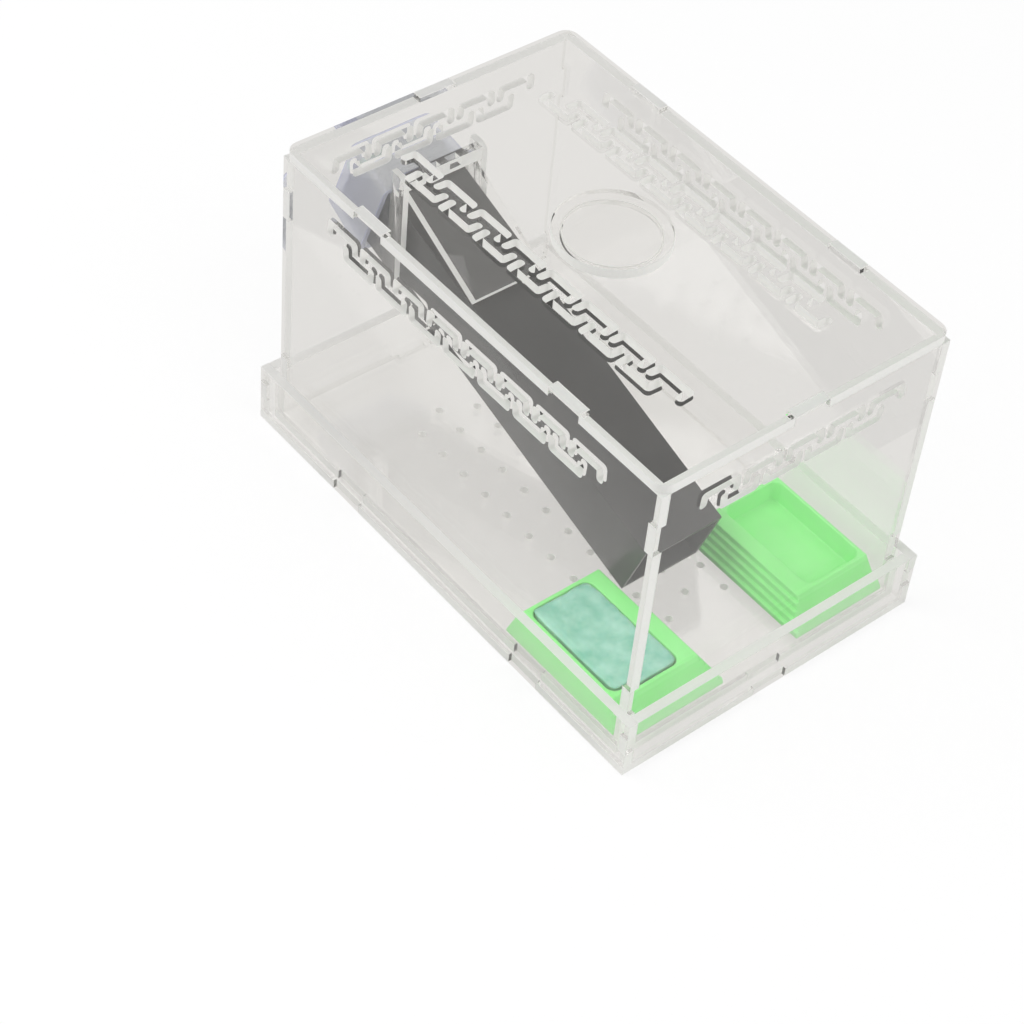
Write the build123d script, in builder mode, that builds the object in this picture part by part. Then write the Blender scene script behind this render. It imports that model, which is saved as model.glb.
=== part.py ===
"""Cricket keeper box: a clear acrylic box with chain vents, standing in a shallow tray.

A dark feeding tube climbs from the floor and out through one end wall, where a cup closes it.
A flap hinged inside that wall lies on the tube and drops shut when the tube is drawn out.
The top is a lift-off lid with a round plug hatch. Two ladder-sided dishes stand at the far end
from the cup, one with food, the other with a gel water pad.

Millimetres. The origin is the centre of the tray's underside, +Z is up, +X points to the end
with the dishes and +Y to the side of the food dish.
"""

import os
from math import acos, asin, atan2, cos, degrees, hypot, radians, sin

from build123d import *

os.makedirs("parts", exist_ok=True)

# Sheet and box
sheet = 3.0  # clear acrylic, laser cut
box_length = 156.0
box_width = 100.0
box_height = 100.0
lid_corner_radius = 4.0
lid_clearance = 0.15  # round each tab that the lid drops over
tab_width = 12.0
side_tab_spacing = 81.0  # between the two tabs on a long edge
finger_height = 10.0
finger_spacing = 62.0  # between the two fingers of a box corner

# Tray
tray_height = 20.0
tray_gap_x = 2.0  # room between box and tray at each end
tray_gap_y = 0.5  # and at each side
tray_finger_height = 6.0

# Chain vents: rows of bracket slots that hook into each other
vent_slot = 2.2
vent_pitch = 14.5
vent_bracket_width = 13.0
vent_row_width = 9.6
vent_hook = 5.3  # a bracket's depth, from bar to leg tips
vent_splay = 0.3  # of the legs, outwards
vent_corner = 1.0  # cut off a bracket's outer corners
vent_tip = 0.6  # and off its leg tips
vent_drop = 15.0  # row centre below the box top
lid_vent_inset = 24.0  # row centre in from the lid's long edge
side_vent_count = 8
end_vent_count = 5

# Floor drainage holes
drain_diameter = 2.2
drain_pitch = 10.0
drain_row_pitch = 10.4
drain_count = 11
drain_sides = 8

# Round hatch in the lid
hatch_diameter = 33.0
hatch_hole = 27.4
hatch_clearance = 0.2

# Feeding tube
tube_width = 25.0
tube_depth = 22.0
tube_wall = 1.2
tube_foot_inset = 39.1  # foot edge from the inside of the dish end wall
tube_top_drop = 35.5  # tube's upper side below the box top, at the outside of the wall
tube_stickout = 18.0
tube_seat_gap = 0.2
exit_clearance = 0.5

# Cup on the tube
cap_wall = 1.8
cap_clearance = 0.1
cap_flare = 1.2  # the mouth is this much wider on every side than the closed end
cap_wall_gap = 0.3  # mouth to end wall
cap_end_gap = 0.3  # tube end to the cup's bottom
cap_corner = 2.0

# Flap and what carries it
flap_thickness = 3.0
flap_reach = 37.8
flap_heel = 1.2
flap_side_gap = 0.6
flap_rest_gap = 0.2
flap_pin_diameter = 2.0
flap_pin_clearance = 0.08
flap_pin_rise = 8.0  # pin axis above the tube's top at the wall
cheek_thickness = 2.0
cheek_depth = 6.0
cheek_gap = 0.5  # beside the tube
cheek_below = 2.0  # below the exit
cheek_round = 3.0  # front corner at the top
stop_bar_height = 4.4
stop_bar_rise = 2.0  # above the pin axis
stop_window_width = 4.0
stop_window_height = 1.8
stop_window_spacing = 6.8

# Dishes
dish_length = 45.5
dish_width = 33.0
dish_height = 9.0
dish_end_gap = 0.5
dish_side_gap = 0.3
dish_far_run = 3.0
dish_ramp_run = 4.8
dish_back_run = 1.0
dish_skirt = 0.8  # upright edge under the slopes
dish_steps = 5
dish_step_run = 1.2
dish_rim = 1.1
dish_shelf = 3.9
basin_depth = 6.4
basin_corner = 3.0
basin_draft = 8.0

# Gel pad
pad_gap = 0.3
pad_height = 6.4
pad_crown = 1.0
pad_corner = 2.4

# Levels and faces worked out from the sizes above
box_base = sheet
floor_top = box_base + sheet
box_top = box_base + box_height
wall_top = box_top - sheet
inner_half_length = box_length / 2 - sheet
inner_half_width = box_width / 2 - sheet
tray_length = box_length + 2 * (tray_gap_x + sheet)
tray_width = box_width + 2 * (tray_gap_y + sheet)
vent_level = box_top - vent_drop


def save(piece, name):
    """Label a finished piece and write it to its own file."""
    piece.part.label = name
    export_step(piece.part, f"parts/{name}.step")


# One bracket slot: a bar on the +Y side of its row, with two hooked legs
half_row = vent_row_width / 2
half_bar = vent_bracket_width / 2
tip_level = half_row - vent_hook
tip_side = half_bar + vent_splay
with BuildSketch() as bracket:
    with BuildLine():
        Polyline(
            (0, half_row),
            (half_bar - vent_corner, half_row),
            (half_bar, half_row - vent_corner),
            (tip_side, tip_level + vent_tip),
            (tip_side - vent_tip, tip_level),
            (tip_side - vent_slot + vent_tip, tip_level),
            (tip_side - vent_slot, tip_level + vent_tip),
            (half_bar - vent_slot, half_row - vent_slot),
            (0, half_row - vent_slot),
        )
        mirror(about=Plane.YZ)
    make_face()


def cut_chain(centre, count, turn=0.0):
    """Cut a chain vent into the open sketch: count brackets hooked into count - 1 others."""
    with Locations(centre):
        with GridLocations(vent_pitch, vent_pitch, count, 1):
            add(bracket.sketch, rotation=turn, mode=Mode.SUBTRACT)
        with GridLocations(vent_pitch, vent_pitch, count - 1, 1):
            add(bracket.sketch, rotation=turn + 180, mode=Mode.SUBTRACT)


def side_outline(length, bottom, top, finger_levels, finger):
    """Long wall in the open sketch, notched at its ends for the end walls' fingers."""
    with Locations((0, (bottom + top) / 2)):
        Rectangle(length, top - bottom)
    ends = [(side * length / 2, level) for side in (-1, 1) for level in finger_levels]
    with Locations(*ends):
        Rectangle(2 * sheet, finger, mode=Mode.SUBTRACT)


def end_outline(width, bottom, top, finger_levels, finger):
    """End wall in the open sketch, set between the long walls, with fingers through them."""
    with Locations((0, (bottom + top) / 2)):
        Rectangle(width - 2 * sheet, top - bottom)
    with Locations(*[(0, level) for level in finger_levels]):
        Rectangle(width, finger)


def add_tabs(places, level):
    """Tabs of one sheet's height on a wall's edge, in the open sketch."""
    with Locations(*[(place, level) for place in places]):
        Rectangle(tab_width, sheet)


def cut_tab_notches(length, width, clearance):
    """Notches in the open sketch of a plate, where the walls' tabs come through its edges."""
    across = tab_width + 2 * clearance
    into = 2 * (sheet + clearance)
    with GridLocations(side_tab_spacing, width, 2, 2):
        Rectangle(across, into, mode=Mode.SUBTRACT)
    with GridLocations(length, width, 2, 1):
        Rectangle(into, across, mode=Mode.SUBTRACT)


side_tabs = (-side_tab_spacing / 2, side_tab_spacing / 2)
end_tabs = (0.0,)
box_middle = (floor_top + wall_top) / 2
box_fingers = (box_middle - finger_spacing / 2, box_middle + finger_spacing / 2)
tray_fingers = ((sheet + tray_height) / 2,)

# Tray: a floor with four low walls
with BuildPart() as tray_floor:
    with BuildSketch(Plane.XY):
        Rectangle(tray_length, tray_width)
        cut_tab_notches(tray_length, tray_width, 0)
    extrude(amount=sheet)
save(tray_floor, "tray_floor")

for name, shift in (("tray_side_left", tray_width / 2 - sheet), ("tray_side_right", -tray_width / 2)):
    with BuildPart() as tray_side:
        with BuildSketch(Plane.XZ.offset(shift)):
            side_outline(tray_length, sheet, tray_height, tray_fingers, tray_finger_height)
            add_tabs(side_tabs, sheet / 2)
        extrude(amount=sheet)
    save(tray_side, name)

for name, shift in (("tray_tube_end", -tray_length / 2), ("tray_dish_end", tray_length / 2 - sheet)):
    with BuildPart() as tray_end:
        with BuildSketch(Plane.YZ.offset(shift)):
            end_outline(tray_width, sheet, tray_height, tray_fingers, tray_finger_height)
            add_tabs(end_tabs, sheet / 2)
        extrude(amount=sheet)
    save(tray_end, name)

# Box floor: staggered rows of drainage holes
with BuildPart() as floor_panel:
    with BuildSketch(Plane.XY.offset(box_base)):
        Rectangle(box_length, box_width)
        cut_tab_notches(box_length, box_width, 0)
        with GridLocations(drain_pitch, 2 * drain_row_pitch, drain_count, 2):
            RegularPolygon(drain_diameter / 2, drain_sides, mode=Mode.SUBTRACT)
        with GridLocations(drain_pitch, 2 * drain_row_pitch, drain_count - 1, 3):
            RegularPolygon(drain_diameter / 2, drain_sides, mode=Mode.SUBTRACT)
    extrude(amount=sheet)
save(floor_panel, "floor_panel")

# Long walls, each with its chain vent
for name, shift in (("side_panel_left", box_width / 2 - sheet), ("side_panel_right", -box_width / 2)):
    with BuildPart() as side_panel:
        with BuildSketch(Plane.XZ.offset(shift)):
            side_outline(box_length, floor_top, wall_top, box_fingers, finger_height)
            add_tabs(side_tabs, box_base + sheet / 2)
            add_tabs(side_tabs, box_top - sheet / 2)
            cut_chain((0, vent_level), side_vent_count)
        extrude(amount=sheet)
    save(side_panel, name)

# The tube's line: it stands on its foot edge and rises to the exit in the tube end wall
foot_x = inner_half_length - tube_foot_inset
foot_z = floor_top + tube_seat_gap
run = foot_x + box_length / 2
rise = box_top - tube_top_drop - foot_z
tilt = acos(tube_depth / hypot(rise, run)) - atan2(run, rise)


def tube_point(along, up):
    """X and Z of a point along the tube from its foot edge, up from its lower side."""
    x = foot_x - along * cos(tilt) + up * sin(tilt)
    z = foot_z + along * sin(tilt) + up * cos(tilt)
    return x, z


def tube_plane(along, up):
    """Section plane of the tube: local X is +Y, local Y is down the section, normal outwards."""
    x, z = tube_point(along, up)
    return Plane(origin=(x, 0, z), x_dir=(0, 1, 0), z_dir=(-cos(tilt), 0, sin(tilt)))


def along_at(x, up):
    """How far along the tube a line at that height over its lower side meets the plane at x."""
    return (foot_x - x + up * sin(tilt)) / cos(tilt)


tube_length = along_at(-box_length / 2, tube_depth) + tube_stickout
with BuildPart() as feeding_tube:
    with BuildSketch(tube_plane(0, tube_depth / 2)):
        Rectangle(tube_width, tube_depth)
        Rectangle(tube_width - 2 * tube_wall, tube_depth - 2 * tube_wall, mode=Mode.SUBTRACT)
    extrude(amount=tube_length)
save(feeding_tube, "feeding_tube")

# Cup: its mouth's upper edge stands just off the end wall
cap_width = tube_width + 2 * (cap_clearance + cap_wall)
cap_depth = tube_depth + 2 * (cap_clearance + cap_wall)
cap_mouth = along_at(-box_length / 2 - cap_wall_gap, tube_depth + cap_clearance + cap_wall + cap_flare)
cap_bottom = tube_length + cap_end_gap
cap_length = cap_bottom + cap_wall - cap_mouth
with BuildPart() as tube_cap:
    with BuildSketch(tube_plane(cap_mouth, tube_depth / 2)):
        RectangleRounded(cap_width + 2 * cap_flare, cap_depth + 2 * cap_flare, cap_corner)
    with BuildSketch(tube_plane(cap_mouth + cap_length, tube_depth / 2)):
        RectangleRounded(cap_width, cap_depth, cap_corner)
    loft(ruled=True)
    chamfer(tube_cap.faces().sort_by(Axis((0, 0, 0), (-cos(tilt), 0, sin(tilt))))[-1].edges(), cap_wall / 2)
    with BuildSketch(tube_plane(cap_mouth, tube_depth / 2)):
        Rectangle(cap_width + 2 * (cap_flare - cap_wall), cap_depth + 2 * (cap_flare - cap_wall))
    with BuildSketch(tube_plane(cap_bottom, tube_depth / 2)):
        Rectangle(cap_width - 2 * cap_wall, cap_depth - 2 * cap_wall)
    loft(ruled=True, mode=Mode.SUBTRACT)
save(tube_cap, "tube_cap")

# Tube end wall: the exit is as tall as the slanted tube needs through the sheet
inner_wall_x = -inner_half_length
exit_bottom = tube_point(along_at(inner_wall_x, 0), 0)[1] - exit_clearance
exit_top = tube_point(along_at(-box_length / 2, tube_depth), tube_depth)[1] + exit_clearance
exit_width = tube_width + 2 * exit_clearance
with BuildPart() as tube_end_panel:
    with BuildSketch(Plane.YZ.offset(-box_length / 2)):
        end_outline(box_width, floor_top, wall_top, box_fingers, finger_height)
        add_tabs(end_tabs, box_base + sheet / 2)
        add_tabs(end_tabs, box_top - sheet / 2)
        cut_chain((0, vent_level), end_vent_count)
        with Locations((0, (exit_bottom + exit_top) / 2)):
            Rectangle(exit_width, exit_top - exit_bottom, mode=Mode.SUBTRACT)
    extrude(amount=sheet)
save(tube_end_panel, "tube_end_panel")

with BuildPart() as dish_end_panel:
    with BuildSketch(Plane.YZ.offset(inner_half_length)):
        end_outline(box_width, floor_top, wall_top, box_fingers, finger_height)
        add_tabs(end_tabs, box_base + sheet / 2)
        add_tabs(end_tabs, box_top - sheet / 2)
        cut_chain((0, vent_level), end_vent_count)
    extrude(amount=sheet)
save(dish_end_panel, "dish_end_panel")

# Lid: a full-size plate that drops over the walls' tabs
lid_vent_y = box_width / 2 - lid_vent_inset
with BuildPart() as top_panel:
    with BuildSketch(Plane.XY.offset(wall_top)):
        RectangleRounded(box_length, box_width, lid_corner_radius)
        cut_tab_notches(box_length, box_width, lid_clearance)
        cut_chain((0, -lid_vent_y), side_vent_count)
        cut_chain((0, lid_vent_y), side_vent_count, turn=180)
        Circle(hatch_hole / 2, mode=Mode.SUBTRACT)
    extrude(amount=sheet)
save(top_panel, "top_panel")

# Hatch: a plug disc in the lid's hole under a wider disc that lies on the lid
with BuildPart() as hatch_flange:
    with BuildSketch(Plane.XY.offset(box_top)):
        Circle(hatch_diameter / 2)
    extrude(amount=sheet)
save(hatch_flange, "hatch_flange")

with BuildPart() as hatch_spigot:
    with BuildSketch(Plane.XY.offset(wall_top)):
        Circle(hatch_hole / 2 - hatch_clearance)
    extrude(amount=sheet)
save(hatch_spigot, "hatch_spigot")

# Flap: a plate with two round lugs, which leans on the tube's upper side
pin_x = inner_wall_x + cheek_depth / 2
pin_z = tube_point(along_at(pin_x, tube_depth), tube_depth)[1] + flap_pin_rise
pin_height = flap_pin_rise * cos(tilt) - flap_rest_gap
flap_lean = asin(pin_height / hypot(flap_reach, flap_thickness / 2))
flap_lean += tilt - atan2(flap_thickness / 2, flap_reach)
cheek_inner = tube_width / 2 + cheek_gap
flap_width = 2 * (cheek_inner - flap_side_gap)
flap_plane = Plane(
    origin=(pin_x, 0, pin_z), x_dir=(cos(flap_lean), 0, -sin(flap_lean)), z_dir=(sin(flap_lean), 0, cos(flap_lean))
)
with BuildPart() as flap_plate:
    with BuildSketch(flap_plane):
        with Locations(((flap_reach - flap_heel) / 2, 0)):
            Rectangle(flap_reach + flap_heel, flap_width)
    extrude(amount=flap_thickness / 2, both=True)
    with BuildSketch(Plane.XZ):
        with Locations((pin_x, pin_z)):
            Circle(flap_pin_diameter / 2)
    extrude(amount=cheek_inner + cheek_thickness, both=True)
save(flap_plate, "flap_plate")

# Cheeks: upright strips on the end wall, either side of the exit, bored for the lugs
cheek_bottom = exit_bottom - cheek_below
cheek_top = pin_z + stop_bar_rise + stop_bar_height
cheek_front = inner_wall_x + cheek_depth
for name, shift in (("flap_cheek_left", cheek_inner), ("flap_cheek_right", -cheek_inner - cheek_thickness)):
    with BuildPart() as flap_cheek:
        with BuildSketch(Plane.XZ.offset(shift)):
            with BuildLine():
                Polyline(
                    (inner_wall_x, cheek_top),
                    (inner_wall_x, cheek_bottom),
                    (cheek_front, cheek_bottom),
                    (cheek_front, cheek_top - cheek_round),
                )
                RadiusArc((cheek_front, cheek_top - cheek_round), (cheek_front - cheek_round, cheek_top), -cheek_round)
                Line((cheek_front - cheek_round, cheek_top), (inner_wall_x, cheek_top))
            make_face()
            with Locations((pin_x, pin_z)):
                Circle(flap_pin_diameter / 2 + flap_pin_clearance, mode=Mode.SUBTRACT)
        extrude(amount=cheek_thickness)
    save(flap_cheek, name)

# Stop bar: bridges the cheeks at their front, over the pin, and ends the flap's swing
with BuildPart() as flap_stop_bar:
    with BuildSketch(Plane.YZ.offset(cheek_front - sheet)):
        with Locations((0, pin_z + stop_bar_rise + stop_bar_height / 2)):
            Rectangle(2 * cheek_inner, stop_bar_height)
            with GridLocations(stop_window_spacing, stop_bar_height, 2, 1):
                Rectangle(stop_window_width, stop_window_height, mode=Mode.SUBTRACT)
    extrude(amount=sheet)
save(flap_stop_bar, "flap_stop_bar")

# Dishes: the food dish stands at the +Y side, the water dish is its mirror image
dish_end_x = inner_half_length - dish_end_gap
dish_start_x = dish_end_x - dish_length
dish_back_y = inner_half_width - dish_side_gap
dish_front_y = dish_back_y - dish_width
dish_top = floor_top + dish_height
steps_run = dish_steps * dish_step_run
basin_length = dish_length - dish_far_run - dish_ramp_run - 2 * dish_rim
basin_width = dish_width - steps_run - dish_shelf - dish_back_run - dish_rim
basin_x = dish_start_x + dish_far_run + dish_rim + basin_length / 2
basin_y = dish_back_y - dish_back_run - dish_rim - basin_width / 2
with BuildPart() as food_dish:
    with BuildSketch(Plane.YZ.offset(dish_start_x)):
        with BuildLine():
            stair = [(dish_front_y, floor_top), (dish_front_y, floor_top + dish_height / dish_steps)]
            for step in range(1, dish_steps):
                tread_y = dish_front_y + step * dish_step_run
                stair.append((tread_y, floor_top + step * dish_height / dish_steps))
                stair.append((tread_y, floor_top + (step + 1) * dish_height / dish_steps))
            Polyline(
                *stair,
                (dish_back_y - dish_back_run, dish_top),
                (dish_back_y, floor_top + dish_skirt),
                (dish_back_y, floor_top),
                close=True,
            )
        make_face()
    extrude(amount=dish_length)
    with BuildSketch(Plane.XZ.offset(-dish_back_y)):
        with BuildLine():
            Polyline(
                (dish_start_x, floor_top),
                (dish_start_x, floor_top + dish_skirt),
                (dish_start_x + dish_far_run, dish_top),
                (dish_end_x - dish_ramp_run, dish_top),
                (dish_end_x, floor_top + dish_skirt),
                (dish_end_x, floor_top),
                close=True,
            )
        make_face()
    extrude(amount=dish_width, mode=Mode.INTERSECT)
    with BuildSketch(Plane.XY.offset(dish_top)):
        with Locations((basin_x, basin_y)):
            RectangleRounded(basin_length, basin_width, basin_corner)
    extrude(amount=-basin_depth, taper=basin_draft, mode=Mode.SUBTRACT)
save(food_dish, "food_dish")

with BuildPart() as water_dish:
    mirror(food_dish.part, about=Plane.XZ)
save(water_dish, "water_dish")

# Gel pad: a crowned cushion in the water dish's basin
basin_floor = dish_top - basin_depth
foot_draw = (basin_depth - pad_gap) * sin(radians(basin_draft)) / cos(radians(basin_draft))
pad_levels = (
    (0.0, foot_draw + 2 * pad_gap),
    (pad_height / 2, foot_draw),
    (pad_height, foot_draw + 2 * pad_gap),
    (pad_height + pad_crown, pad_corner + foot_draw),
)
with BuildPart() as gel_pad:
    for level, draw in pad_levels:
        with BuildSketch(Plane.XY.offset(basin_floor + level)):
            with Locations((basin_x, -basin_y)):
                inset = draw + pad_gap
                RectangleRounded(basin_length - 2 * inset, basin_width - 2 * inset, pad_corner)
    loft(ruled=True)
save(gel_pad, "gel_pad")

print(f"tube tilt {degrees(tilt):.2f} deg, length {tube_length:.1f}")
print(f"flap lean {degrees(flap_lean):.2f} deg, pin at {pin_x:.2f}, {pin_z:.2f}, width {flap_width:.1f}")
print(f"exit {exit_bottom:.2f} to {exit_top:.2f}, cup length {cap_length:.2f}")
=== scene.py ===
"""Cricket keeper box: clear acrylic with chain vents, a slanted dark tube, a flap and two dishes.

Each sub-assembly is a class that holds its own sizes in millimetres, builds its pieces around the
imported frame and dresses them. The frame and every Blender object are in metres.
"""

from __future__ import annotations

import logging
import math
from dataclasses import dataclass, field
from enum import Enum

import bmesh
import bpy
from mathutils import Matrix, Quaternion, Vector, noise
from mathutils.geometry import tessellate_polygon

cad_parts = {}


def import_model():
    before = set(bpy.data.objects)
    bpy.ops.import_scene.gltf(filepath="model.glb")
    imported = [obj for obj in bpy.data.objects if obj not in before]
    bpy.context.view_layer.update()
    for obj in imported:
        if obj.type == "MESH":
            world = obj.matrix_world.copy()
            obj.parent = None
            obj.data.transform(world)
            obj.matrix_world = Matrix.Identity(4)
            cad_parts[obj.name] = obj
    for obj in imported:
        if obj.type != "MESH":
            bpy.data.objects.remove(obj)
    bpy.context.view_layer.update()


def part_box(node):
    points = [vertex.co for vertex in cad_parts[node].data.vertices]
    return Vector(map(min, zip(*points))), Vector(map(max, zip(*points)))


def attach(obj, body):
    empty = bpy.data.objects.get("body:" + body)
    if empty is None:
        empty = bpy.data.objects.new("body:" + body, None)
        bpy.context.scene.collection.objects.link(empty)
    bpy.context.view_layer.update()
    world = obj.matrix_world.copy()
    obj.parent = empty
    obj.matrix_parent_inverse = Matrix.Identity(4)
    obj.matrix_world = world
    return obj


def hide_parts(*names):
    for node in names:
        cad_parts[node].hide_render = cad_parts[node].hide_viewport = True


LOG = logging.getLogger("keeper_box")
MM = 0.001
SHEET = 3.0  # thickness of the acrylic sheets, in millimetres
FACE_SLOT, EDGE_SLOT = 0, 1  # material slots of a piece's faces and of its edges

Point = tuple[float, float]
Spot = tuple[float, float, float]
Loop = list[Point]
Colour = tuple[float, float, float, float]

WHITE: Colour = (1.0, 1.0, 1.0, 1.0)


class Lie(Enum):
    """How a sheet lies: across which axis of the box its faces stand."""

    FLAT = "z"
    ALONG = "y"
    ACROSS = "x"

    def place(self, u: float, v: float, w: float) -> Spot:
        """Put a point of a sheet into the box's axes.

        Args:
            u: the first way in the sheet's plane.
            v: the second way in its plane.
            w: the way through it.

        Returns:
            The point's x, y and z.
        """
        if self is Lie.FLAT:
            return u, v, w
        if self is Lie.ALONG:
            return u, w, v
        return w, u, v


class Stud(Enum):
    """What a sheet's edge carries along it."""

    TAB = 1.0
    NOTCH = -1.0


# ---------------------------------------------------------------------------------------------
# Finishes
# ---------------------------------------------------------------------------------------------


@dataclass(frozen=True)
class Grain:
    """Noise over a piece, and how it dents the surface."""

    cells: float  # in a metre
    detail: float
    strength: float = 0.0
    depth: float = 0.0  # in metres


@dataclass
class Nodes:
    """Short-hand for building the node tree of a material or of the world."""

    tree: bpy.types.NodeTree

    @classmethod
    def fresh(cls, owner: bpy.types.Material | bpy.types.World) -> Nodes:
        """Empty the owner's node tree and start on it.

        Args:
            owner: the material or the world.

        Returns:
            The short-hand for its tree.
        """
        owner.use_nodes = True
        owner.node_tree.nodes.clear()
        return cls(owner.node_tree)

    def put(self, value: object, socket: bpy.types.NodeSocket) -> None:
        """Set an input to a value, or link it if the value is another node's output.

        Args:
            value: a number, a colour or an output socket.
            socket: the input.
        """
        if isinstance(value, bpy.types.NodeSocket):
            self.tree.links.new(value, socket)
        else:
            socket.default_value = value

    def add(self, kind: str, **inputs: object) -> bpy.types.Node:
        """Add a node and fill its inputs.

        Args:
            kind: the node's type, such as ShaderNodeMixShader.
            inputs: values or output sockets by the input's name, with _ for a space.

        Returns:
            The new node.
        """
        node = self.tree.nodes.new(kind)
        for key, value in inputs.items():
            self.put(value, node.inputs[key.replace("_", " ")])
        return node

    def mix(self, share: object, first: bpy.types.Node, second: bpy.types.Node) -> bpy.types.Node:
        """Mix two shaders.

        Args:
            share: how much of the second there is, a number or a socket.
            first: the first shader.
            second: the second shader.

        Returns:
            The mixed shader.
        """
        node = self.add("ShaderNodeMixShader")
        for value, socket in zip((share, first.outputs[0], second.outputs[0]), node.inputs):
            self.put(value, socket)
        return node

    def join(self, operation: str, first: object, second: object) -> bpy.types.NodeSocket:
        """Join two numbers.

        Args:
            operation: how, such as MAXIMUM.
            first: a number or a socket.
            second: a number or a socket.

        Returns:
            The outcome's socket.
        """
        node = self.add("ShaderNodeMath")
        node.operation = operation
        self.put(first, node.inputs[0])
        self.put(second, node.inputs[1])
        return node.outputs[0]

    def noise(self, grain: Grain) -> bpy.types.NodeSocket:
        """Add a grain's noise over the piece's own coordinates.

        Args:
            grain: the size and the detail of its cells.

        Returns:
            The noise's socket, from 0 to 1.
        """
        place = self.add("ShaderNodeTexCoord")
        cells = self.add(
            "ShaderNodeTexNoise",
            Vector=place.outputs["Object"],
            Scale=grain.cells,
            Detail=grain.detail,
        )
        return cells.outputs["Fac"]

    def blend(
        self, factor: bpy.types.NodeSocket, span: Point, colours: tuple[Colour, Colour]
    ) -> bpy.types.NodeSocket:
        """Blend from one colour to another.

        Args:
            factor: what the colour follows.
            span: the factor where the blend starts and where it ends.
            colours: the colours at those two.

        Returns:
            The colour's socket.
        """
        node = self.add("ShaderNodeValToRGB", Fac=factor)
        for stop, position, colour in zip(node.color_ramp.elements, span, colours):
            stop.position = position
            stop.color = colour
        return node.outputs["Color"]

    def bump(self, height: bpy.types.NodeSocket, grain: Grain) -> bpy.types.NodeSocket:
        """Dent the surface by a height, as strongly and as deep as the grain says."""
        dent = {"Strength": grain.strength, "Distance": grain.depth}
        return self.add("ShaderNodeBump", Height=height, **dent).outputs["Normal"]

    def open_to_light(self, shader: bpy.types.Node, tint: Colour) -> bpy.types.Node:
        """Let lamp rays and soft light pass straight through a clear shader.

        Args:
            shader: what the eye and reflections see.
            tint: the share of light that passes.

        Returns:
            The mixed shader.
        """
        path = self.add("ShaderNodeLightPath")
        either = self.join("MAXIMUM", path.outputs["Is Shadow Ray"], path.outputs["Is Diffuse Ray"])
        return self.mix(either, shader, self.add("ShaderNodeBsdfTransparent", Color=tint))

    def finish(self, shader: bpy.types.Node, output: str = "ShaderNodeOutputMaterial") -> None:
        """Send the shader to the tree's output."""
        self.put(shader.outputs[0], self.add(output).inputs["Surface"])


@dataclass(frozen=True)
class Finish:
    """What the finishes share: a name, a roughness, how far light bends in them, and a grain."""

    name: str
    roughness: float
    ior: float
    grain: Grain

    def make(self) -> bpy.types.Material:
        """Make the material.

        Returns:
            The material, with its nodes.
        """
        material = bpy.data.materials.new(self.name)
        nodes = Nodes.fresh(material)
        nodes.finish(self.shader(nodes))
        return material

    def shader(self, nodes: Nodes) -> bpy.types.Node:
        """Build the finish's shader, each finish in its own way."""
        raise NotImplementedError

    def surface(
        self, nodes: Nodes, colour: object, height: bpy.types.NodeSocket, **inputs: object
    ) -> bpy.types.Node:
        """Add the plastic that every finish starts from.

        Args:
            nodes: the material's nodes.
            colour: a colour or its socket.
            height: what dents it.
            inputs: its other inputs by name.

        Returns:
            The plastic's shader.
        """
        return nodes.add(
            "ShaderNodeBsdfPrincipled",
            Base_Color=colour,
            Roughness=self.roughness,
            IOR=self.ior,
            Normal=nodes.bump(height, self.grain),
            **inputs,
        )


@dataclass(frozen=True)
class ClearAcrylic(Finish):
    """Polished face of a clear acrylic sheet, with the faintest waviness.

    Where light has run to and fro inside a sheet a few times, a painted pale colour stands in for
    the light that the sheet carries there from its far edges, not black.
    """

    name: str = "acrylic_face"
    roughness: float = 0.01
    ior: float = 1.49
    grain: Grain = Grain(cells=60.0, detail=2.0, strength=0.02, depth=0.0002)
    tint: Colour = (0.985, 0.983, 0.978, 1.0)
    passes: Colour = (0.985, 0.985, 0.98, 1.0)
    # painted light: the pale colour that stands in for light trapped in the sheet
    painted_trapped_light: Colour = (0.85, 0.84, 0.82, 1.0)
    most_bounces: float = 2.5  # reflections before light counts as trapped

    def shader(self, nodes: Nodes) -> bpy.types.Node:
        """Build clear plastic that turns to a painted pale, standing in for light, where light is
        trapped in it.

        Args:
            nodes: the material's nodes.

        Returns:
            The shader.
        """
        clear = self.surface(nodes, self.tint, nodes.noise(self.grain), Transmission_Weight=1.0)
        path = nodes.add("ShaderNodeLightPath")
        trapped = nodes.join("GREATER_THAN", path.outputs["Glossy Depth"], self.most_bounces)
        # painted light: a pale diffuse in place of the light that trapped rays would carry
        painted_trapped_light = nodes.add("ShaderNodeBsdfDiffuse", Color=self.painted_trapped_light)
        return nodes.open_to_light(nodes.mix(trapped, clear, painted_trapped_light), self.passes)


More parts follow.
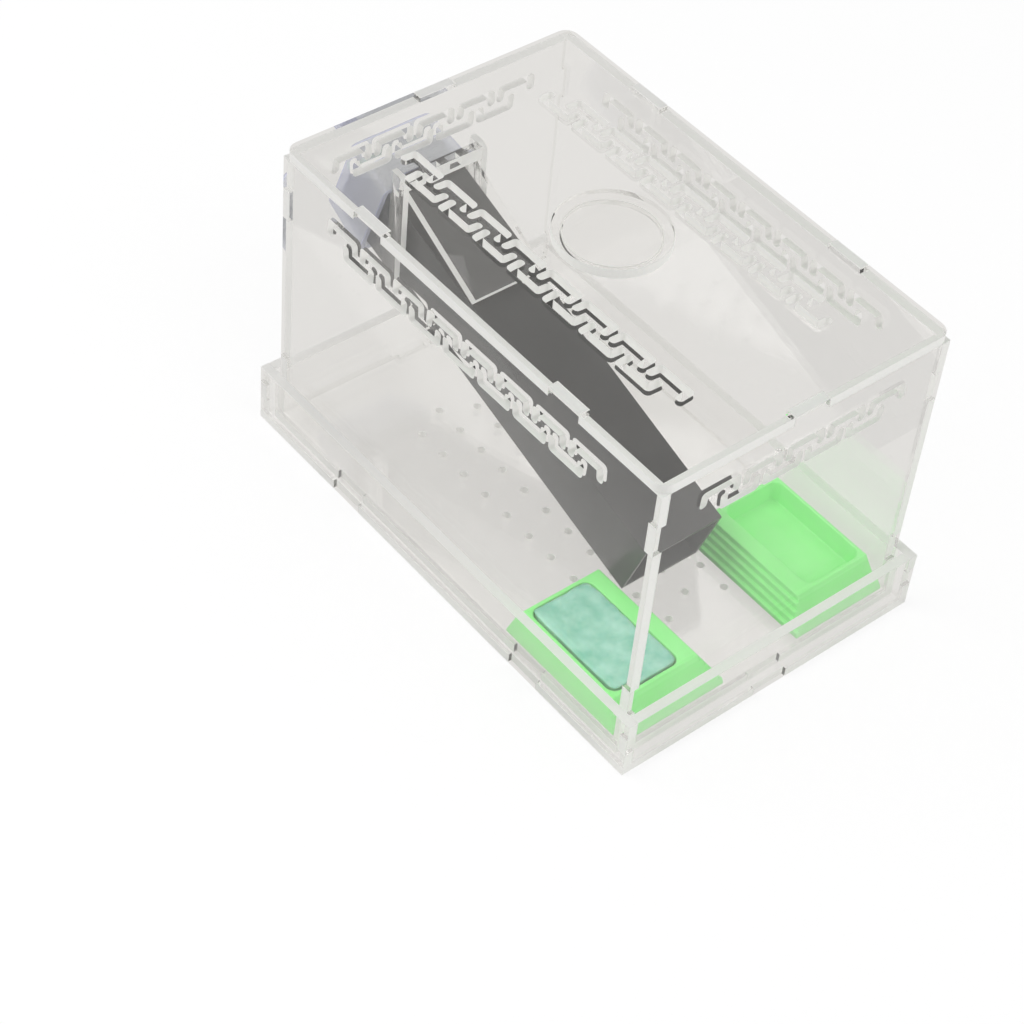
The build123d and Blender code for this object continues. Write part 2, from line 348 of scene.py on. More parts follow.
@dataclass(frozen=True)
class CutEdge(Finish):
    """Frosted edge that the laser leaves.

    It vanishes where it is seen from inside the sheet or through another edge.
    """

    name: str = "acrylic_cut_edge"
    roughness: float = 0.55
    ior: float = 1.49
    grain: Grain = Grain(cells=900.0, detail=3.0, strength=0.25, depth=0.00005)
    passes: Colour = (0.97, 0.97, 0.965, 1.0)
    dark: Colour = (0.92, 0.92, 0.905, 1.0)
    pale: Colour = (0.97, 0.965, 0.95, 1.0)
    streaks: Point = (0.35, 0.65)  # the noise where dark ends and where pale starts
    glow: float = 0.55  # share of the light that comes through from behind
    most_passes: float = 0.5  # faces that light has passed before the edge vanishes

    def shader(self, nodes: Nodes) -> bpy.types.Node:
        """Build a frosted, glowing skin on the outside and nothing on the inside.

        Args:
            nodes: the material's nodes.

        Returns:
            The shader.
        """
        lines = nodes.noise(self.grain)
        colour = nodes.blend(lines, self.streaks, (self.dark, self.pale))
        glow = nodes.add("ShaderNodeBsdfTranslucent", Color=self.pale)
        outside = nodes.mix(self.glow, self.surface(nodes, colour, lines), glow)
        inside = nodes.add("ShaderNodeBsdfTransparent", Color=self.passes)
        side = nodes.add("ShaderNodeNewGeometry")
        path = nodes.add("ShaderNodeLightPath")
        passed = nodes.join("GREATER_THAN", path.outputs["Transparent Depth"], self.most_passes)
        hidden = nodes.join("MAXIMUM", side.outputs["Backfacing"], passed)
        return nodes.mix(hidden, outside, inside)


@dataclass(frozen=True)
class SmokePlastic(Finish):
    """Dark smoke plastic of the tube, with a soft sheen and cloudy moulding marks."""

    name: str = "smoke_plastic"
    roughness: float = 0.32
    ior: float = 1.5
    grain: Grain = Grain(cells=55.0, detail=4.0, strength=0.04, depth=0.0003)
    deep: Colour = (0.026, 0.026, 0.025, 1.0)
    light: Colour = (0.042, 0.042, 0.04, 1.0)
    clouds: Point = (0.3, 0.75)

    def shader(self, nodes: Nodes) -> bpy.types.Node:
        """Build the dark plastic."""
        cloud = nodes.noise(self.grain)
        return self.surface(nodes, nodes.blend(cloud, self.clouds, (self.deep, self.light)), cloud)


@dataclass(frozen=True)
class MilkyCup(Finish):
    """Pale translucent plastic, milky on its walls and blue where it is seen edge on."""

    name: str = "cup_wall"
    roughness: float = 0.22
    ior: float = 1.46
    grain: Grain = Grain(cells=90.0, detail=3.0, strength=0.06, depth=0.0002)
    body: Colour = (0.81, 0.82, 0.84, 1.0)
    rim: Colour = (0.56, 0.58, 0.90, 1.0)
    clear: Colour = (0.90, 0.91, 0.95, 1.0)
    turning: Point = (0.25, 0.95)  # how edge on it starts to turn blue, and how far it does
    edge_on: float = 0.35
    milk: float = 0.47  # share of it that isn't clear
    glow: float = 0.3  # share of the light that comes through the milk

    def shader(self, nodes: Nodes) -> bpy.types.Node:
        """Build milky plastic that light shines through.

        Args:
            nodes: the material's nodes.

        Returns:
            The shader.
        """
        edge = nodes.add("ShaderNodeLayerWeight", Blend=self.edge_on)
        colour = nodes.blend(edge.outputs["Facing"], self.turning, (self.body, self.rim))
        milky = self.surface(nodes, colour, nodes.noise(self.grain))
        light = nodes.add("ShaderNodeBsdfTranslucent", Color=colour)
        open_part = nodes.add("ShaderNodeBsdfTransparent", Color=self.clear)
        return nodes.mix(self.milk, open_part, nodes.mix(self.glow, milky, light))


# The cup's softened edges: partly the plastic's own blue seen edge on, partly painted highlight,
# brighter and more opaque so the edges show as a bright line even in shade.
CUP_RIM_HIGHLIGHT = MilkyCup(
    name="cup_rim", body=(0.60, 0.62, 0.97, 1.0), rim=(0.52, 0.55, 0.95, 1.0), milk=0.9
)


@dataclass(frozen=True)
class GreenDish(Finish):
    """Bright green moulded plastic, slightly glowing through, with a satin grain."""

    name: str = "dish_plastic"
    roughness: float = 0.42
    ior: float = 1.49
    grain: Grain = Grain(cells=2200.0, detail=2.0, strength=0.10, depth=0.00004)
    cloud: Grain = Grain(cells=70.0, detail=3.0)
    body: Colour = (0.22, 0.86, 0.20, 1.0)
    pale: Colour = (0.28, 0.92, 0.26, 1.0)
    clouds: Point = (0.3, 0.7)
    glow: float = 0.25
    glow_depth: float = 0.002  # in metres
    glow_spread: Spot = (0.4, 1.0, 0.4)

    def shader(self, nodes: Nodes) -> bpy.types.Node:
        """Build green plastic that glows a little from within.

        Args:
            nodes: the material's nodes.

        Returns:
            The shader.
        """
        colour = nodes.blend(nodes.noise(self.cloud), self.clouds, (self.body, self.pale))
        return self.surface(
            nodes,
            colour,
            nodes.noise(self.grain),
            Subsurface_Weight=self.glow,
            Subsurface_Scale=self.glow_depth,
            Subsurface_Radius=self.glow_spread,
        )


@dataclass(frozen=True)
class CloudyGel(Finish):
    """Blue-green gel with milky wisps and a wet skin."""

    name: str = "gel"
    roughness: float = 0.28
    ior: float = 1.38
    grain: Grain = Grain(cells=900.0, detail=3.0, strength=0.35, depth=0.0002)
    wisp: Grain = Grain(cells=190.0, detail=6.0)
    deep: Colour = (0.17, 0.53, 0.37, 1.0)
    milk: Colour = (0.38, 0.72, 0.57, 1.0)
    wisps: Point = (0.35, 0.68)
    glow: float = 0.3
    glow_depth: float = 0.002  # in metres

    def shader(self, nodes: Nodes) -> bpy.types.Node:
        """Build wispy gel that glows a little from within.

        Args:
            nodes: the material's nodes.

        Returns:
            The shader.
        """
        return self.surface(
            nodes,
            nodes.blend(nodes.noise(self.wisp), self.wisps, (self.deep, self.milk)),
            nodes.noise(self.grain),
            Subsurface_Weight=self.glow,
            Subsurface_Scale=self.glow_depth,
        )


@dataclass
class Finishes:
    """Every finish on the keeper box, made once."""

    face: bpy.types.Material = field(default_factory=ClearAcrylic().make)
    edge: bpy.types.Material = field(default_factory=CutEdge().make)
    smoke: bpy.types.Material = field(default_factory=SmokePlastic().make)
    cup: bpy.types.Material = field(default_factory=MilkyCup().make)
    # the cup's edges, with a painted highlight
    cup_rim: bpy.types.Material = field(default_factory=CUP_RIM_HIGHLIGHT.make)
    dish: bpy.types.Material = field(default_factory=GreenDish().make)
    gel: bpy.types.Material = field(default_factory=CloudyGel().make)


# ---------------------------------------------------------------------------------------------
# Outlines
# ---------------------------------------------------------------------------------------------


@dataclass(frozen=True)
class Studs:
    """Tabs or notches of one size along one side of a sheet."""

    places: tuple[float, ...] = ()
    width: float = 0.0
    depth: float = 0.0
    kind: Stud = Stud.TAB


@dataclass(frozen=True)
class Plate:
    """A rectangular sheet's outline, with studs on its four sides."""

    centre: Point
    width: float
    height: float
    bottom: Studs = Studs()
    right: Studs = Studs()
    top: Studs = Studs()
    left: Studs = Studs()
    corner: float = 0.0

    def outline(self) -> Loop:
        """Walk round the plate anticlockwise.

        Returns:
            The points that are passed.
        """
        cx, cy = self.centre
        half_w, half_h = self.width / 2, self.height / 2
        sides = (
            ((cx, cy - half_h), (1, 0), half_w, self.bottom, cx),
            ((cx + half_w, cy), (0, 1), half_h, self.right, cy),
            ((cx, cy + half_h), (-1, 0), half_w, self.top, -cx),
            ((cx - half_w, cy), (0, -1), half_h, self.left, -cy),
        )
        points: Loop = []
        radii: list[float] = []
        for (x, y), (dx, dy), half, studs, origin in sides:
            steps = [(-half, 0.0)]
            reach = studs.depth * studs.kind.value
            for place in sorted((dx + dy) * place - origin for place in studs.places):
                start, end = place - studs.width / 2, place + studs.width / 2
                steps += [(start, 0.0), (start, reach), (end, reach), (end, 0.0)]
            points += [(x + dx * on + dy * out, y + dy * on - dx * out) for on, out in steps]
            radii += [self.corner] + [0.0] * (len(steps) - 1)
        return rounded(points, radii)


def rounded(points: Loop, radii: list[float], steps: int = 6) -> Loop:
    """Round a polygon's corners.

    Args:
        points: the polygon's corners.
        radii: each corner's radius, 0 for a sharp one.
        steps: chords in each rounding.

    Returns:
        The rounded polygon.
    """
    result: Loop = []
    for index, (corner, radius) in enumerate(zip(points, radii)):
        if radius <= 0:
            result.append(corner)
            continue
        here = Vector(corner)
        back = (Vector(points[index - 1]) - here).normalized()
        ahead = (Vector(points[(index + 1) % len(points)]) - here).normalized()
        half = back.angle(ahead) / 2
        middle = here + (back + ahead).normalized() * radius / math.sin(half)
        start = here + back * radius / math.tan(half) - middle
        end = here + ahead * radius / math.tan(half) - middle
        sweep = start.angle_signed(end)
        for step in range(steps + 1):
            turn = Matrix.Rotation(-sweep * step / steps, 2)
            result.append(tuple(middle + turn @ start))
    return result


def pair(spacing: float, middle: float = 0.0) -> tuple[float, float]:
    """Two places, a spacing apart about a middle."""
    return middle - spacing / 2, middle + spacing / 2


def circle(radius: float, steps: int, centre: Point = (0.0, 0.0)) -> Loop:
    """Points of a circle, anticlockwise."""
    turns = [math.tau * step / steps for step in range(steps)]
    return [(centre[0] + radius * math.cos(a), centre[1] + radius * math.sin(a)) for a in turns]


def signed_area(loop: Loop) -> float:
    """Area of a loop, positive if it runs anticlockwise."""
    return sum(a[0] * b[1] - b[0] * a[1] for a, b in zip(loop, loop[1:] + loop[:1])) / 2


def wound(loop: Loop, anticlockwise: bool) -> Loop:
    """The loop, run the way that is asked for."""
    return loop if (signed_area(loop) > 0) == anticlockwise else loop[::-1]


def inset(loop: Loop, distance: float) -> Loop:
    """Move a loop to its left, keeping its corners mitred.

    Args:
        loop: the loop.
        distance: how far it moves.

    Returns:
        The moved loop, with as many points.
    """
    moved: Loop = []
    for index, point in enumerate(loop):
        here = Vector(point)
        back = (here - Vector(loop[index - 1])).normalized()
        ahead = (Vector(loop[(index + 1) % len(loop)]) - here).normalized()
        normal_back, normal_ahead = Vector((-back.y, back.x)), Vector((-ahead.y, ahead.x))
        share = 1 + normal_back.dot(normal_ahead)
        moved.append(tuple(here + (normal_back + normal_ahead) * distance / share))
    return moved


@dataclass(frozen=True)
class ChainVent:
    """A row of bracket slots hooked into a second row: a chain of count and count - 1 brackets."""

    slot: float = 2.2
    pitch: float = 14.5
    bracket_width: float = 13.0
    row_width: float = 9.6
    hook: float = 5.3
    splay: float = 0.3
    corner_radius: float = 1.3
    tip_radius: float = 1.0
    inner_radius: float = 0.25
    round_steps: int = 5

    def bracket(self) -> tuple[Loop, list[float]]:
        """Draw one bracket with its bar on the +v side.

        Returns:
            Its corners and their radii.
        """
        half_row, half_bar = self.row_width / 2, self.bracket_width / 2
        tip, tip_side = half_row - self.hook, half_bar + self.splay
        right: Loop = [
            (half_bar, half_row),
            (tip_side, tip),
            (tip_side - self.slot, tip),
            (half_bar - self.slot, half_row - self.slot),
        ]
        radii = [self.corner_radius, self.tip_radius, self.tip_radius, self.inner_radius]
        left = [(-u, v) for u, v in reversed(right)]
        return right + left, radii + radii[::-1]

    def loops(self, centre: Point, count: int, turned: bool = False) -> list[Loop]:
        """All bracket slots of a vent.

        Args:
            centre: the middle of the row.
            count: brackets in the row whose bars lie on the +v side.
            turned: True to turn the vent by half a turn.

        Returns:
            One loop for each slot.
        """
        shape = rounded(*self.bracket(), self.round_steps)
        loops: list[Loop] = []
        for size, flip in ((count, 1), (count - 1, -1)):
            sign = -flip if turned else flip
            for index in range(size):
                middle = centre[0] + (index - (size - 1) / 2) * self.pitch
                loops.append([(middle + sign * u, centre[1] + sign * v) for u, v in shape])
        return loops


# ---------------------------------------------------------------------------------------------
# Making pieces
# ---------------------------------------------------------------------------------------------


def put_in_scene(name: str, data: bpy.types.ID) -> bpy.types.Object:
    """Make an object and link it into the scene.

    Args:
        name: the object's name.
        data: its mesh, lamp or camera.

    Returns:
        The object.
    """
    thing = bpy.data.objects.new(name, data)
    bpy.context.scene.collection.objects.link(thing)
    return thing


@dataclass
class Maker:
    """Makes and places pieces, each in place of a node of the frame, which it hides."""

    finishes: Finishes
    kerf: float = 0.03  # the laser's clearance between glued sheets
    arris: float = 0.10  # the small bevel along each cut edge
    weld: float = 0.01  # corners nearer than this are one
    flat_angle: float = 1.0  # faces within this angle, in degrees, are one
    sharp_angle: float = 28.0  # edges over this angle, in degrees, are softened
    soft_steps: int = 3

    def sheet(
        self,
        name: str,
        node: str,
        body: str,
        lie: Lie,
        level: float,
        outline: Loop,
        holes: list[Loop] | None = None,
    ) -> None:
        """Make one cut sheet with polished faces, frosted edges and a small arris.

        Args:
            name: the piece's name.
            node: the frame's node that it stands for.
            body: the body that it rides on.
            lie: which way its faces stand.
            level: where its lower face lies, in millimetres.
            outline: its outer loop.
            holes: loops cut out of it.
        """
        loops = [wound(outline, True)] + [wound(hole, False) for hole in holes or []]
        low, high = level + self.kerf, level + SHEET - self.kerf
        vertices: list[Spot] = []
        faces: list[tuple[int, ...]] = []
        flat: list[list[Vector]] = []
        lower: list[int] = []
        upper: list[int] = []
        for loop in (inset(loop, self.kerf) for loop in loops):
            inner = inset(loop, self.arris)
            rings = []
            for ring, height in (
                (inner, low),
                (loop, low + self.arris),
                (loop, high - self.arris),
                (inner, high),
            ):
                rings.append(range(len(vertices), len(vertices) + len(ring)))
                vertices += [lie.place(u * MM, v * MM, height * MM) for u, v in ring]
            for below, above in zip(rings, rings[1:]):
                for index in range(len(loop)):
                    after = (index + 1) % len(loop)
                    faces.append((below[index], below[after], above[after], above[index]))
            flat.append([Vector((*point, 0.0)) for point in inner])
            lower += rings[0]
            upper += rings[-1]
        slots = [EDGE_SLOT] * len(faces)
        for a, b, c in tessellate_polygon(flat):
            faces += [(lower[a], lower[b], lower[c]), (upper[a], upper[b], upper[c])]
            slots += [FACE_SLOT, FACE_SLOT]
        self.stand_in(self.cut_piece(name, vertices, faces, slots), node, body, "clear_acrylic")

    def cut_piece(
        self, name: str, vertices: list[Spot], faces: list[tuple[int, ...]], slots: list[int]
    ) -> bpy.types.Object:
        """Make a cut piece's object, with its normals turned outwards.

        Args:
            name: the piece's name.
            vertices: its corners, in metres.
            faces: the corners of each face.
            slots: each face's material slot.

        Returns:
            The piece.
        """
        mesh = bpy.data.meshes.new(name)
        mesh.from_pydata(vertices, [], faces)
        mesh.materials.append(self.finishes.face)
        mesh.materials.append(self.finishes.edge)
        mesh.polygons.foreach_set("material_index", slots)
        work = bmesh.new()
        work.from_mesh(mesh)
        bmesh.ops.recalc_face_normals(work, faces=work.faces)
        work.to_mesh(mesh)
        work.free()
        return put_in_scene(name, mesh)

    def moulded(
        self, name: str, node: str, body: str, slot: str, material: bpy.types.Material, soft: float
    ) -> bpy.types.Object:
        """Make a moulded piece from a node's solid, with softened edges.

        Args:
            name: the piece's name.
            node: the frame's node whose form it takes and that it stands for.
            body: the body that it rides on.
            slot: handed on to stand_in, which does not use it.
            material: its finish.
            soft: the width of its softened edges, in millimetres.

        Returns:
            The piece.
        """
        source = bpy.data.objects[node]
        work = bmesh.new()
        work.from_mesh(source.data)
        work.transform(source.matrix_world)
        bmesh.ops.remove_doubles(work, verts=work.verts, dist=self.weld * MM)
        flat = math.radians(self.flat_angle)
        bmesh.ops.dissolve_limit(work, angle_limit=flat, verts=work.verts, edges=work.edges)
        mesh = bpy.data.meshes.new(name)
        work.to_mesh(mesh)
        work.free()
        mesh.materials.clear()
        mesh.materials.append(material)
        mesh.shade_smooth()
        piece = put_in_scene(name, mesh)
        bevel = piece.modifiers.new("softened_edges", "BEVEL")
        bevel.width = soft * MM
        bevel.segments = self.soft_steps
        bevel.limit_method = "ANGLE"
        bevel.angle_limit = math.radians(self.sharp_angle)
        bevel.harden_normals = True
        self.stand_in(piece, node, body, slot)
        return piece

    def stand_in(self, piece: bpy.types.Object, node: str, body: str, slot: str) -> None:
        """Let a piece ride on a body in place of a node.

        Args:
            piece: the piece.
            node: the frame's node that it stands for.
            body: the body that it rides on.
            slot: not used.
        """
        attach(piece, body)
        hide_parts(node)
        LOG.info("%s stands for %s on %s", piece.name, node, body)


# ---------------------------------------------------------------------------------------------
# Sub-assemblies
# ---------------------------------------------------------------------------------------------


@dataclass
class Tray:
    """Shallow tray of five sheets, finger-jointed."""

    maker: Maker
    length: float = 166.0
    width: float = 107.0
    height: float = 20.0
    tab_width: float = 12.0
    tab_spacing: float = 81.0
    finger_height: float = 6.0

    def build(self) -> None:
        """Make the floor and the four walls."""
        side_tabs = pair(self.tab_spacing)
        side_notch = Studs(side_tabs, self.tab_width, SHEET, Stud.NOTCH)
        end_notch = Studs((0.0,), self.tab_width, SHEET, Stud.NOTCH)
        floor = Plate((0, 0), self.length, self.width, side_notch, end_notch, side_notch, end_notch)
        self.maker.sheet("tray_floor_sheet", "tray_floor", "tray", Lie.FLAT, 0.0, floor.outline())
        middle = (SHEET + self.height) / 2
        rise = self.height - SHEET
        notch = Studs((middle,), self.finger_height, SHEET, Stud.NOTCH)
        finger = Studs((middle,), self.finger_height, SHEET)
        side = Plate(
            (0, middle), self.length, rise,
            bottom=Studs(side_tabs, self.tab_width, SHEET), right=notch, left=notch,
        )
        end = Plate(
            (0, middle), self.width - 2 * SHEET, rise,
            bottom=Studs((0.0,), self.tab_width, SHEET), right=finger, left=finger,
        )
        for name, level in (("left", -self.width / 2), ("right", self.width / 2 - SHEET)):
            piece, node = f"tray_{name}_wall", f"tray_side_{name}"
            self.maker.sheet(piece, node, "tray", Lie.ALONG, level, side.outline())
        for name, level in (("tube", -self.length / 2), ("dish", self.length / 2 - SHEET)):
            piece, node = f"tray_{name}_end_wall", f"tray_{name}_end"
            self.maker.sheet(piece, node, "tray", Lie.ACROSS, level, end.outline())


@dataclass
class Shell:
    """The box: perforated floor, two long walls and two end walls, with chain vents."""

    maker: Maker
    vent: ChainVent = ChainVent()
    length: float = 156.0
    width: float = 100.0
    base: float = 3.0
    height: float = 100.0
    tab_width: float = 12.0
    tab_spacing: float = 81.0
    finger_height: float = 10.0
    finger_spacing: float = 62.0
    vent_drop: float = 15.0
    side_vents: int = 8
    end_vents: int = 5
    drain_diameter: float = 2.2
    drain_pitch: float = 10.0
    drain_row_pitch: float = 10.4
    drain_rows: int = 5
    drain_count: int = 11
    drain_steps: int = 16
    exit_low: float = 42.80
    exit_high: float = 68.00
    exit_width: float = 26.0

    @property
    def floor_top(self) -> float:
        """Height of the box floor's upper face."""
        return self.base + SHEET

    @property
    def wall_top(self) -> float:
        """Height of the walls' upper edges, where the lid lies."""
        return self.base + self.height - SHEET

    @property
    def vent_level(self) -> float:
        """Height of the middle of the walls' vents."""
        return self.base + self.height - self.vent_drop

    @property
    def side_tabs(self) -> tuple[float, float]:
        """Places of the tabs along the long walls."""
        return pair(self.tab_spacing)

    def wall(self, width: float, end_tabs: tuple[float, ...], joint: Stud) -> Loop:
        """Outline of one wall.

        Args:
            width: its width between its upright edges.
            end_tabs: places of the tabs on its lower and upper edge.
            joint: what its upright edges carry, tabs or notches.

        Returns:
            The outline.
        """
        middle = (self.floor_top + self.wall_top) / 2
        tabs = Studs(end_tabs, self.tab_width, SHEET)
        fingers = Studs(pair(self.finger_spacing, middle), self.finger_height, SHEET, joint)
        rise = self.wall_top - self.floor_top
        return Plate((0, middle), width, rise, tabs, fingers, tabs, fingers).outline()

    def build(self) -> None:
        """Make the five sheets."""
        self.build_floor()
        self.build_sides()
        self.build_ends()

    def build_floor(self) -> None:
        """Make the floor with its staggered drainage holes."""
        side = Studs(self.side_tabs, self.tab_width, SHEET, Stud.NOTCH)
        end = Studs((0.0,), self.tab_width, SHEET, Stud.NOTCH)
        plate = Plate((0, 0), self.length, self.width, side, end, side, end)
        holes = []
        for row in range(self.drain_rows):
            line = row - self.drain_rows // 2
            count = self.drain_count - (1 if line % 2 == 0 else 0)
            for index in range(count):
                spot = ((index - (count - 1) / 2) * self.drain_pitch, line * self.drain_row_pitch)
                holes.append(circle(self.drain_diameter / 2, self.drain_steps, spot))
        self.maker.sheet(
            "box_floor", "floor_panel", "box", Lie.FLAT, self.base, plate.outline(), holes
        )

    def build_sides(self) -> None:
        """Make the long walls."""
        outline = self.wall(self.length, self.side_tabs, Stud.NOTCH)
        vents = self.vent.loops((0, self.vent_level), self.side_vents)
        for name, level in (("left", -self.width / 2), ("right", self.width / 2 - SHEET)):
            piece, node = f"box_{name}_wall", f"side_panel_{name}"
            self.maker.sheet(piece, node, "box", Lie.ALONG, level, outline, vents)

    def build_ends(self) -> None:
        """Make the end walls, one of them with the tube's exit."""
        outline = self.wall(self.width - 2 * SHEET, (0.0,), Stud.TAB)
        vents = self.vent.loops((0, self.vent_level), self.end_vents)
        exit_middle = (0, (self.exit_low + self.exit_high) / 2)
        way_out = Plate(exit_middle, self.exit_width, self.exit_high - self.exit_low).outline()
        for name, level, holes in (
            ("tube", -self.length / 2, vents + [way_out]),
            ("dish", self.length / 2 - SHEET, vents),
        ):
            piece, node = f"box_{name}_end_wall", f"{name}_end_panel"
            self.maker.sheet(piece, node, "box", Lie.ACROSS, level, outline, holes)


@dataclass
class Lid:
    """Lift-off lid with two chain vents, and its round plug hatch."""

    maker: Maker
    shell: Shell
    corner: float = 4.0
    clearance: float = 0.15
    vent_inset: float = 24.0
    hatch_diameter: float = 33.0
    hatch_hole: float = 27.4
    hatch_clearance: float = 0.2
    hatch_steps: int = 64

    def build(self) -> None:
        """Make the lid and the hatch's two discs."""
        shell = self.shell
        across = shell.tab_width + 2 * self.clearance
        into = SHEET + self.clearance
        side = Studs(shell.side_tabs, across, into, Stud.NOTCH)
        end = Studs((0.0,), across, into, Stud.NOTCH)
        plate = Plate((0, 0), shell.length, shell.width, side, end, side, end, self.corner)
        vent_y = shell.width / 2 - self.vent_inset
        holes = shell.vent.loops((0, -vent_y), shell.side_vents)
        holes += shell.vent.loops((0, vent_y), shell.side_vents, turned=True)
        holes.append(circle(self.hatch_hole / 2, self.hatch_steps))
        level = shell.wall_top
        self.maker.sheet("lid_sheet", "top_panel", "lid", Lie.FLAT, level, plate.outline(), holes)
        plug = circle(self.hatch_hole / 2 - self.hatch_clearance, self.hatch_steps)
        disc = circle(self.hatch_diameter / 2, self.hatch_steps)
        self.maker.sheet("hatch_plug", "hatch_spigot", "hatch", Lie.FLAT, level, plug)
        self.maker.sheet("hatch_disc", "hatch_flange", "hatch", Lie.FLAT, level + SHEET, disc)


@dataclass
class FeedingTube:
    """Dark rectangular tube with the milky cup on its upper end."""

    maker: Maker
    tube_edge: float = 0.25
    cup_edge: float = 0.8

    def build(self) -> None:
        """Make the tube and the cup, with the cup's edges in their own finish that paints a bright
        highlight along them.
        """
        finishes = self.maker.finishes
        self.maker.moulded(
            "tube_body", "feeding_tube", "tube", "smoke_plastic", finishes.smoke, self.tube_edge
        )
        cup = self.maker.moulded(
            "tube_cup", "tube_cap", "cap", "blue_plastic", finishes.cup, self.cup_edge
        )
        # painted highlight: the brighter rim finish on the softened edges
        cup.data.materials.append(finishes.cup_rim)
        cup.modifiers["softened_edges"].material = EDGE_SLOT


@dataclass
class Flap:
    """Hinged flap with its cheeks and the bar over the pin."""

    maker: Maker
    edge: float = 0.12
    least_facing: float = 0.95  # how squarely a face must lie to count as polished

    def build(self) -> None:
        """Make the flap, the cheeks and the bar."""
        for name, node, body in (
            ("flap_sheet", "flap_plate", "flap"),
            ("cheek_left", "flap_cheek_left", "box"),
            ("cheek_right", "flap_cheek_right", "box"),
            ("stop_bar", "flap_stop_bar", "box"),
        ):
            piece = self.maker.moulded(
                name, node, body, "clear_acrylic", self.maker.finishes.face, self.edge
            )
            self.frost_edges(piece)

    def frost_edges(self, piece: bpy.types.Object) -> None:
        """Give the frosted finish to every face that doesn't lie as the broadest one does.

        Args:
            piece: the sheet's piece.
        """
        mesh = piece.data
        mesh.materials.append(self.maker.finishes.edge)
        broad = max(mesh.polygons, key=lambda face: face.area).normal.copy()
        for face in mesh.polygons:
            polished = abs(face.normal.dot(broad)) > self.least_facing
            face.material_index = FACE_SLOT if polished else EDGE_SLOT


@dataclass
class Dishes:
    """Two ladder-sided dishes."""

    maker: Maker
    edge: float = 0.35

    def build(self) -> None:
        """Make both dishes."""
        for name in ("food_dish", "water_dish"):
            self.maker.moulded(
                f"{name}_moulding", name, name, "green_plastic", self.maker.finishes.dish, self.edge
            )


@dataclass
class GelPad:
    """Crowned gel pad that fills the water dish's basin."""

    maker: Maker
    cuts: int = 40
    ripple: float = 0.22
    ripple_size: float = 3.5
    squareness: float = 16.0
    lean: float = 0.55  # the basin's walls lean out, and the pad with them
    ragged: float = 0.25
    roundness: float = 0.16  # how far the crown falls at the edge, as a share of its height
    crown_power: int = 10
    skin: float = 0.9  # the height above which the top's skin ripples, from -1 to 1

    def build(self) -> None:
        """Make the pad: a rounded block with a crown and a rippled skin."""
        low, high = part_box("gel_pad")
        middle, half = (low + high) / 2, (high - low) / 2
        work = bmesh.new()
        bmesh.ops.create_cube(work, size=2.0)
        bmesh.ops.subdivide_edges(work, edges=work.edges, cuts=self.cuts, use_grid_fill=True)
        for vertex in work.verts:
            vertex.co = self.shaped(vertex.co, middle, half)
        mesh = bpy.data.meshes.new("gel_cushion")
        work.to_mesh(mesh)
        work.free()
        mesh.materials.append(self.maker.finishes.gel)
        mesh.shade_smooth()
        piece = put_in_scene("gel_cushion", mesh)
        self.maker.stand_in(piece, "gel_pad", "pad", "gel")

    def shaped(self, unit: Vector, middle: Vector, half: Vector) -> Vector:
        """Map a point of the unit cube onto the pad.

        Args:
            unit: the point, each coordinate from -1 to 1.
            middle: the pad's middle.
            half: half its size.

        Returns:
            The point on the pad.
        """
        power = self.squareness
        spread = (abs(unit.x) ** power + abs(unit.y) ** power) ** (1 / power)
        pull = max(abs(unit.x), abs(unit.y)) / spread if spread > 0 else 1.0
        x, y = unit.x * pull, unit.y * pull
        edge = max(abs(x), abs(y))
        smooth = Vector((x * half.x, y * half.y, unit.z * half.z))
        wave = noise.noise(smooth / (self.ripple_size * MM))
        swell = (self.lean * unit.z + self.ragged * wave * edge) * MM
        crown = 1 - self.roundness * edge**self.crown_power if unit.z > 0 else 1.0
        spot = Vector((x * (half.x + swell), y * (half.y + swell), unit.z * crown * half.z))
        if unit.z > self.skin:
            spot.z += (wave - 1) * self.ripple * MM
        return middle + spot


@dataclass(frozen=True)
class Lamp:
    """A square soft lamp that faces the box."""

    name: str
    place: Spot  # in metres
    size: float  # in metres
    watts: float


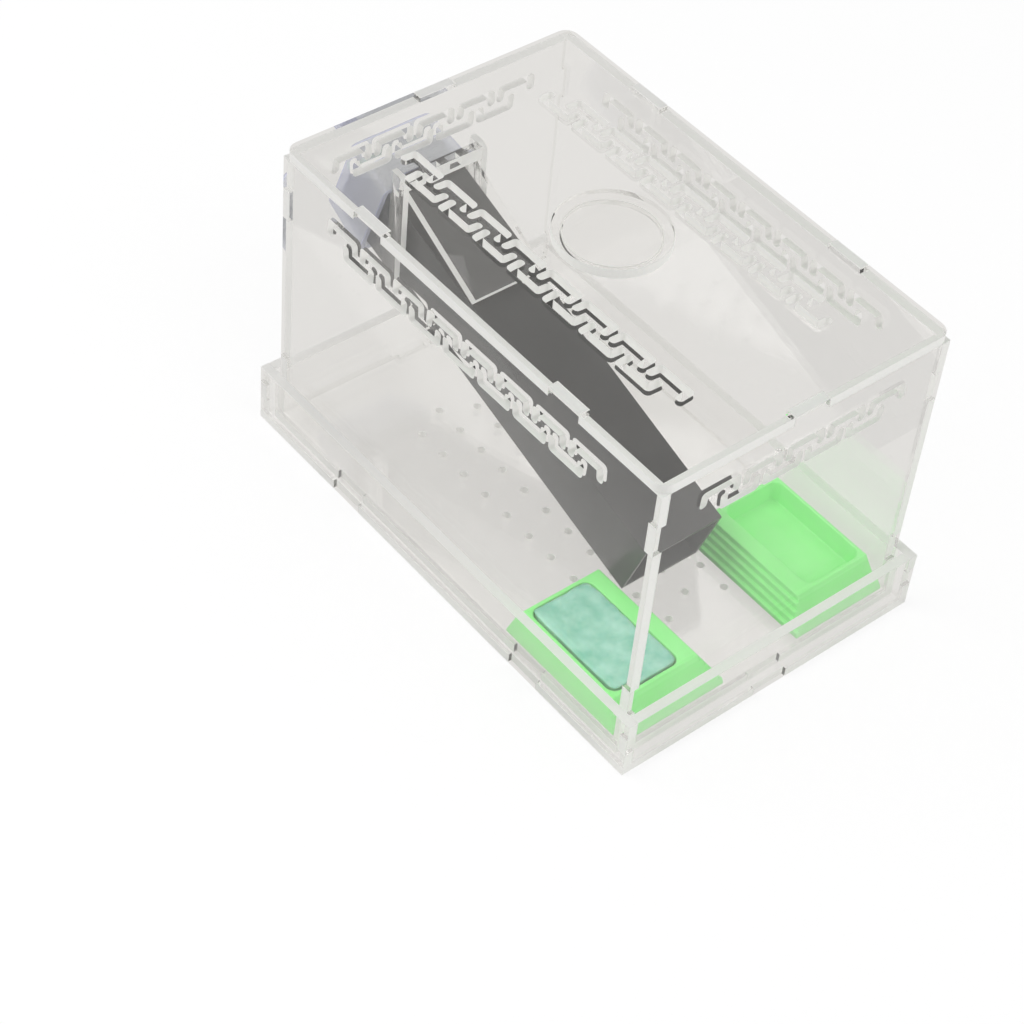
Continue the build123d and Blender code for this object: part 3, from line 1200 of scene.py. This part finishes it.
@dataclass
class Studio:
    """White floor, soft light and the camera at the photograph's viewing angle."""

    place: Spot = (377.2, -379.3, 552.4)
    azimuth: float = 44.774  # in degrees
    elevation: float = 45.812  # in degrees
    roll: float = 7.493  # in degrees
    lens: float = 92.8
    sensor: float = 36.0
    shift: Point = (-0.0658, -0.0093)
    near: float = 10.0
    through_grey: Colour = (0.775, 0.762, 0.742, 1.0)  # what shows through the sheets
    through_share: float = 0.88  # how far it covers the floor there
    floor_half: float = 3000.0
    floor_drop: float = 0.2
    floor_colour: Colour = (0.9, 0.9, 0.9, 1.0)
    floor_glow: float = 0.8  # the share of plain white in the floor, where it is seen directly
    soft_light: float = 0.66
    lamps: tuple[Lamp, ...] = (
        Lamp("key", (-0.5, -0.7, 1.1), 0.9, 9.0),
        Lamp("fill", (0.9, 0.3, 0.9), 0.9, 4.0),
    )

    def build(self) -> None:
        """Set up the floor, the light and the camera."""
        self.build_floor()
        self.build_world()
        self.build_lamps()
        self.build_camera()
        bpy.context.scene.view_settings.view_transform = "Standard"

    def build_floor(self) -> None:
        """Lay a large pale floor under the tray."""
        mesh = bpy.data.meshes.new("floor")
        half = self.floor_half * MM
        corner_spots = [(-half, -half, 0), (half, -half, 0), (half, half, 0), (-half, half, 0)]
        mesh.from_pydata(corner_spots, [], [(0, 1, 2, 3)])
        mesh.materials.append(self.floor_white())
        floor = put_in_scene("floor", mesh)
        floor.location.z = -self.floor_drop * MM

    def floor_white(self) -> bpy.types.Material:
        """Make the floor's finish: white to the eye, pale grey through the sheets.

        Returns:
            The finish.
        """
        material = bpy.data.materials.new("floor_white")
        nodes = Nodes.fresh(material)
        lit = nodes.add("ShaderNodeBsdfDiffuse", Color=self.floor_colour)
        white = nodes.add("ShaderNodeEmission", Color=WHITE)
        grey = nodes.add("ShaderNodeEmission", Color=self.through_grey)
        seen = nodes.add("ShaderNodeLightPath").outputs
        glow = nodes.join("MULTIPLY", seen["Is Camera Ray"], self.floor_glow)
        clear_ray = nodes.join("MAXIMUM", seen["Is Glossy Ray"], seen["Is Transmission Ray"])
        through = nodes.join("MULTIPLY", clear_ray, self.through_share)
        nodes.finish(nodes.mix(through, nodes.mix(glow, lit, white), grey))
        return material

    def build_world(self) -> None:
        """Light the scene softly from all round, and show white behind it."""
        world = bpy.data.worlds.new("studio")
        bpy.context.scene.world = world
        nodes = Nodes.fresh(world)
        seen = nodes.add("ShaderNodeLightPath").outputs
        sky = nodes.add("ShaderNodeBackground", Color=WHITE, Strength=self.soft_light)
        for ray, colour in (
            ("Is Transmission Ray", self.through_grey),
            ("Is Glossy Ray", self.through_grey),
            ("Is Camera Ray", WHITE),
        ):
            sky = nodes.mix(seen[ray], sky, nodes.add("ShaderNodeBackground", Color=colour))
        nodes.finish(sky, "ShaderNodeOutputWorld")

    def build_lamps(self) -> None:
        """Hang the soft lamps."""
        for lamp in self.lamps:
            data = bpy.data.lights.new(lamp.name, "AREA")
            data.size = lamp.size
            data.energy = lamp.watts
            holder = put_in_scene(lamp.name, data)
            holder.location = lamp.place
            holder.rotation_mode = "QUATERNION"
            holder.rotation_quaternion = (-Vector(lamp.place)).to_track_quat("-Z", "Y")

    def build_camera(self) -> None:
        """Place the camera where the photograph was taken from."""
        azimuth, elevation = math.radians(self.azimuth), math.radians(self.elevation)
        level = math.cos(elevation)
        look = Vector(
            (-math.sin(azimuth) * level, math.cos(azimuth) * level, -math.sin(elevation))
        )
        data = bpy.data.cameras.new("camera")
        data.lens = self.lens
        data.sensor_width = self.sensor
        data.shift_x, data.shift_y = self.shift
        data.clip_start = self.near * MM
        camera = put_in_scene("camera", data)
        camera.location = Vector(self.place) * MM
        camera.rotation_mode = "QUATERNION"
        turn = Quaternion((0, 0, 1), math.radians(self.roll))
        camera.rotation_quaternion = look.to_track_quat("-Z", "Y") @ turn
        bpy.context.scene.camera = camera


def main() -> None:
    """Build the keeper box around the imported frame."""
    logging.basicConfig(level=logging.INFO, format="%(name)s: %(message)s")
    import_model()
    maker = Maker(Finishes())
    shell = Shell(maker)
    Tray(maker).build()
    shell.build()
    Lid(maker, shell).build()
    FeedingTube(maker).build()
    Flap(maker).build()
    Dishes(maker).build()
    GelPad(maker).build()
    Studio().build()


if __name__ == "__main__":
    main()
